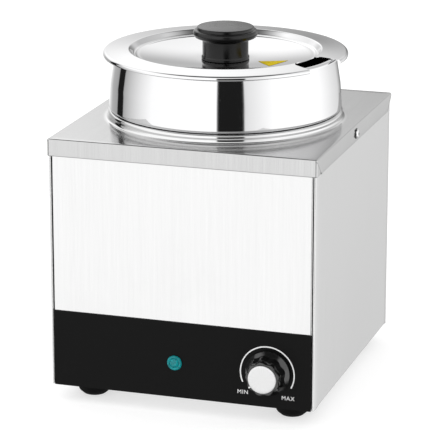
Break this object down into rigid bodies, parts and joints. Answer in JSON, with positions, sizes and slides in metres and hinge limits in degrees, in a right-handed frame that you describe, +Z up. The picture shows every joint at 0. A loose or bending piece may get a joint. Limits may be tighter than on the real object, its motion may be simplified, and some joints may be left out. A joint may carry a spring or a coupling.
{
  "type": "soup kettle",
  "caption": "Countertop wet-heat soup kettle: square steel casing, raised round collar, lift-out stepped pot, dished lid with ladle notch, thermostat knob and pilot lamp.",
  "frame": {"origin": "on the worktop, under the middle of the overall plan (knob and gland included)", "axes": "+Z up, front and controls face -Y, +X to the right of someone facing the front"},
  "size_m": [0.2754, 0.3244, 0.358],
  "materials": {
    "brushed_steel": "brushed, fine straight grain",
    "mirror_steel": "mirror polished",
    "plain_steel": "mill finish",
    "black_fascia": "satin overlay",
    "element_sheath": "oxidised tube",
    "zinc_plate": "bright zinc plated",
    "ceramic": "matt moulded",
    "gloss_black": "gloss moulded",
    "satin_cap": "satin anodised",
    "teal_lens": "translucent gloss",
    "moulded_black": "moulded",
    "copper": "drawn copper",
    "white_plastic": "moulded",
    "brass": "turned",
    "bakelite": "satin moulded",
    "foot_rubber": "matt rubber",
    "wire_brown": "silicone sleeve",
    "wire_blue": "silicone sleeve",
    "wire_green": "silicone sleeve",
    "wire_red": "silicone sleeve"
  },
  "bodies": {
    "casing": {"deck": "brushed_steel", "body_shell": "brushed_steel", "front_panel": "brushed_steel", "control_fascia": "black_fascia", "base_plate": "plain_steel", "water_tank": "plain_steel", "tank_floor": "plain_steel", "heating_element": "element_sheath", "heater_clamp_plate": "zinc_plate", "heater_nut": "zinc_plate", "thermal_cutout": "ceramic", "foot_front_left": "foot_rubber", "foot_screw_front_left": "zinc_plate", "base_screw_front_left": "zinc_plate", "foot_front_right": "foot_rubber", "foot_screw_front_right": "zinc_plate", "base_screw_front_right": "zinc_plate", "foot_rear_left": "foot_rubber", "foot_screw_rear_left": "zinc_plate", "base_screw_rear_left": "zinc_plate", "foot_rear_right": "foot_rubber", "foot_screw_rear_right": "zinc_plate", "base_screw_rear_right": "zinc_plate", "deck_screw_right": "zinc_plate", "deck_screw_left": "zinc_plate", "deck_screw_rear": "zinc_plate", "thermostat_body": "ceramic", "thermostat_screw_left": "zinc_plate", "thermostat_screw_right": "zinc_plate", "pilot_lamp_lens": "teal_lens", "pilot_lamp_body": "moulded_black", "pilot_lamp_nut": "zinc_plate", "thermostat_bulb": "copper", "bulb_clip": "zinc_plate", "thermostat_capillary": "copper", "terminal_block": "white_plastic", "terminal_block_screw": "zinc_plate", "earth_screw": "brass", "wire_live": "wire_brown", "wire_lamp_neutral": "wire_blue", "wire_earth": "wire_green", "wire_lamp_live": "wire_brown", "wire_heater_live": "wire_red", "wire_heater_return": "wire_red", "wire_neutral": "wire_blue", "cable_gland": "moulded_black", "gland_locknut": "moulded_black"},
    "knob": {"thermostat_knob": "gloss_black", "thermostat_knob_cap": "satin_cap", "thermostat_spindle": "zinc_plate"},
    "pot": {"soup_pot": "mirror_steel"},
    "lid": {"lid": "mirror_steel", "lid_knob": "bakelite", "lid_knob_insert": "brass", "lid_knob_washer": "zinc_plate", "lid_knob_screw": "zinc_plate"}
  },
  "joints": [
    {"name": "thermostat_turn", "type": "hinge", "parent": "casing", "child": "knob", "pos_m": [0.0885, -0.1397, 0.0526], "axis": [0, 1, 0], "range_deg": [0, 250]},
    {"name": "pot_lift", "type": "slide", "parent": "casing", "child": "pot", "axis": [0, 0, 1], "range_m": [0, 0.2]},
    {"name": "lid_lift", "type": "slide", "parent": "pot", "child": "lid", "axis": [0, 0, 1], "range_m": [0, 0.12]}
  ]
}
